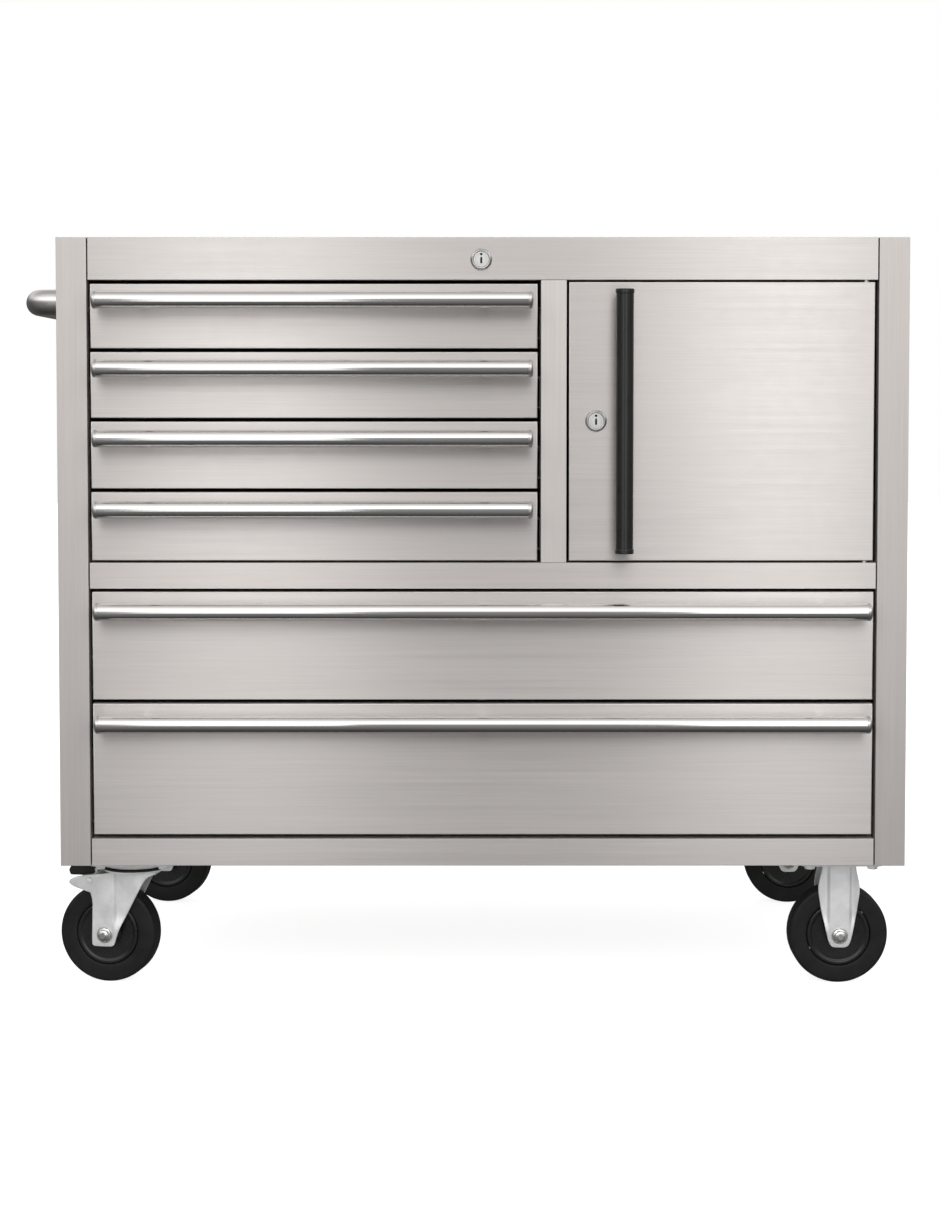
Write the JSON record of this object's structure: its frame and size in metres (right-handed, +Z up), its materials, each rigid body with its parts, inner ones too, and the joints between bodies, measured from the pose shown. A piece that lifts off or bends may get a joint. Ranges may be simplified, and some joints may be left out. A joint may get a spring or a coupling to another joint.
{
  "type": "rolling tool chest",
  "caption": "Wide brushed stainless tool chest on casters, with full-width bar-pull drawers below, narrow drawers beside a lockable cupboard above, and a push handle at one end.",
  "frame": {"origin": "on the floor, under the middle of the whole chest's bounding box", "axes": "+Z up, +X to the right as seen from the front, +Y from the front with the drawers to the back"},
  "size_m": [1.122, 0.6486, 0.9525],
  "materials": {
    "stainless_panel": "brushed stainless sheet, soft satin grain",
    "stainless_front": "brushed stainless sheet, fine horizontal grain",
    "stainless_tube": "satin polished stainless tube",
    "galvanised_steel": "grey powder coat and zinc on the inner steel",
    "lock_chrome": "bright plated cam lock",
    "zinc_plate": "bright zinc plate on pressed steel",
    "black_satin": "black satin coating",
    "tread_rubber": "hard black rubber",
    "wheel_core": "black moulded resin",
    "pedal_black": "black moulded pedal"
  },
  "bodies": {
    "cabinet": {"left_side_panel": "stainless_panel", "right_side_panel": "stainless_panel", "back_panel": "galvanised_steel", "top_panel": "stainless_panel", "top_rail": "stainless_panel", "middle_rail": "stainless_panel", "bottom_rail": "stainless_panel", "base_pan": "galvanised_steel", "middle_deck": "galvanised_steel", "centre_divider": "stainless_panel", "left_slide_rack": "galvanised_steel", "right_slide_rack": "galvanised_steel", "push_handle": "stainless_tube", "top_lock_housing": "lock_chrome", "left_front_caster_plate": "zinc_plate", "left_rear_caster_plate": "zinc_plate", "right_front_caster_bracket": "zinc_plate", "right_rear_caster_bracket": "zinc_plate", "right_front_axle": "zinc_plate", "right_rear_axle": "zinc_plate"},
    "top_lock": {"top_lock_plug": "lock_chrome"},
    "door": {"door_shell": "stainless_front", "door_liner": "galvanised_steel", "door_pull": "black_satin", "door_lock_housing": "lock_chrome", "door_upper_pivot": "zinc_plate", "door_lower_pivot": "zinc_plate"},
    "door_lock": {"door_lock_plug": "lock_chrome"},
    "drawer_1": {"drawer_1_front": "stainless_front", "drawer_1_tray": "galvanised_steel", "drawer_1_pull": "stainless_tube"},
    "drawer_2": {"drawer_2_front": "stainless_front", "drawer_2_tray": "galvanised_steel", "drawer_2_pull": "stainless_tube"},
    "drawer_3": {"drawer_3_front": "stainless_front", "drawer_3_tray": "galvanised_steel", "drawer_3_pull": "stainless_tube"},
    "drawer_4": {"drawer_4_front": "stainless_front", "drawer_4_tray": "galvanised_steel", "drawer_4_pull": "stainless_tube"},
    "drawer_5": {"drawer_5_front": "stainless_front", "drawer_5_tray": "galvanised_steel", "drawer_5_pull": "stainless_tube"},
    "drawer_6": {"drawer_6_front": "stainless_front", "drawer_6_tray": "galvanised_steel", "drawer_6_pull": "stainless_tube"},
    "left_front_caster": {"left_front_fork": "zinc_plate", "left_front_axle": "zinc_plate"},
    "left_front_brake": {"left_front_brake_pedal": "pedal_black"},
    "left_rear_caster": {"left_rear_fork": "zinc_plate", "left_rear_axle": "zinc_plate"},
    "left_rear_brake": {"left_rear_brake_pedal": "pedal_black"},
    "left_front_wheel": {"left_front_wheel_tread": "tread_rubber", "left_front_wheel_core": "wheel_core"},
    "left_rear_wheel": {"left_rear_wheel_tread": "tread_rubber", "left_rear_wheel_core": "wheel_core"},
    "right_front_wheel": {"right_front_wheel_tread": "tread_rubber", "right_front_wheel_core": "wheel_core"},
    "right_rear_wheel": {"right_rear_wheel_tread": "tread_rubber", "right_rear_wheel_core": "wheel_core"}
  },
  "joints": [
    {"name": "drawer_1_slide", "type": "slide", "parent": "cabinet", "child": "drawer_1", "axis": [0, -1, 0], "range_m": [0, 0.45]},
    {"name": "drawer_2_slide", "type": "slide", "parent": "cabinet", "child": "drawer_2", "axis": [0, -1, 0], "range_m": [0, 0.45]},
    {"name": "drawer_3_slide", "type": "slide", "parent": "cabinet", "child": "drawer_3", "axis": [0, -1, 0], "range_m": [0, 0.45]},
    {"name": "drawer_4_slide", "type": "slide", "parent": "cabinet", "child": "drawer_4", "axis": [0, -1, 0], "range_m": [0, 0.45]},
    {"name": "drawer_5_slide", "type": "slide", "parent": "cabinet", "child": "drawer_5", "axis": [0, -1, 0], "range_m": [0, 0.45]},
    {"name": "drawer_6_slide", "type": "slide", "parent": "cabinet", "child": "drawer_6", "axis": [0, -1, 0], "range_m": [0, 0.45]},
    {"name": "door_hinge", "type": "hinge", "parent": "cabinet", "child": "door", "pos_m": [0.5078, -0.27765, 0.722], "axis": [0, 0, 1], "range_deg": [0, 110]},
    {"name": "top_lock_turn", "type": "hinge", "parent": "cabinet", "child": "top_lock", "pos_m": [0.0255, -0.28565, 0.9248], "axis": [0, -1, 0], "range_deg": [-90, 0]},
    {"name": "door_lock_turn", "type": "hinge", "parent": "door", "child": "door_lock", "pos_m": [0.1693, -0.28565, 0.7233], "axis": [0, -1, 0], "range_deg": [-90, 0]},
    {"name": "left_front_swivel", "type": "hinge", "parent": "cabinet", "child": "left_front_caster", "pos_m": [-0.4205, -0.22365, 0.142], "axis": [0, 0, 1], "continuous": true},
    {"name": "left_front_wheel_spin", "type": "hinge", "parent": "left_front_caster", "child": "left_front_wheel", "pos_m": [-0.453, -0.21792, 0.0635], "axis": [0.1736, 0.9848, 0], "continuous": true},
    {"name": "left_front_brake_press", "type": "hinge", "parent": "left_front_caster", "child": "left_front_brake", "pos_m": [-0.47269, -0.21445, 0.1326], "axis": [-0.1736, -0.9848, 0], "range_deg": [0, 12]},
    {"name": "left_rear_swivel", "type": "hinge", "parent": "cabinet", "child": "left_rear_caster", "pos_m": [-0.408, 0.26235, 0.142], "axis": [0, 0, 1], "continuous": true},
    {"name": "left_rear_wheel_spin", "type": "hinge", "parent": "left_rear_caster", "child": "left_rear_wheel", "pos_m": [-0.4405, 0.26808, 0.0635], "axis": [0.1736, 0.9848, 0], "continuous": true},
    {"name": "left_rear_brake_press", "type": "hinge", "parent": "left_rear_caster", "child": "left_rear_brake", "pos_m": [-0.46019, 0.27155, 0.1326], "axis": [-0.1736, -0.9848, 0], "range_deg": [0, 12]},
    {"name": "right_front_wheel_spin", "type": "hinge", "parent": "cabinet", "child": "right_front_wheel", "pos_m": [0.485, -0.22365, 0.0635], "axis": [0, 1, 0], "continuous": true},
    {"name": "right_rear_wheel_spin", "type": "hinge", "parent": "cabinet", "child": "right_rear_wheel", "pos_m": [0.485, 0.26235, 0.0635], "axis": [0, 1, 0], "continuous": true}
  ]
}
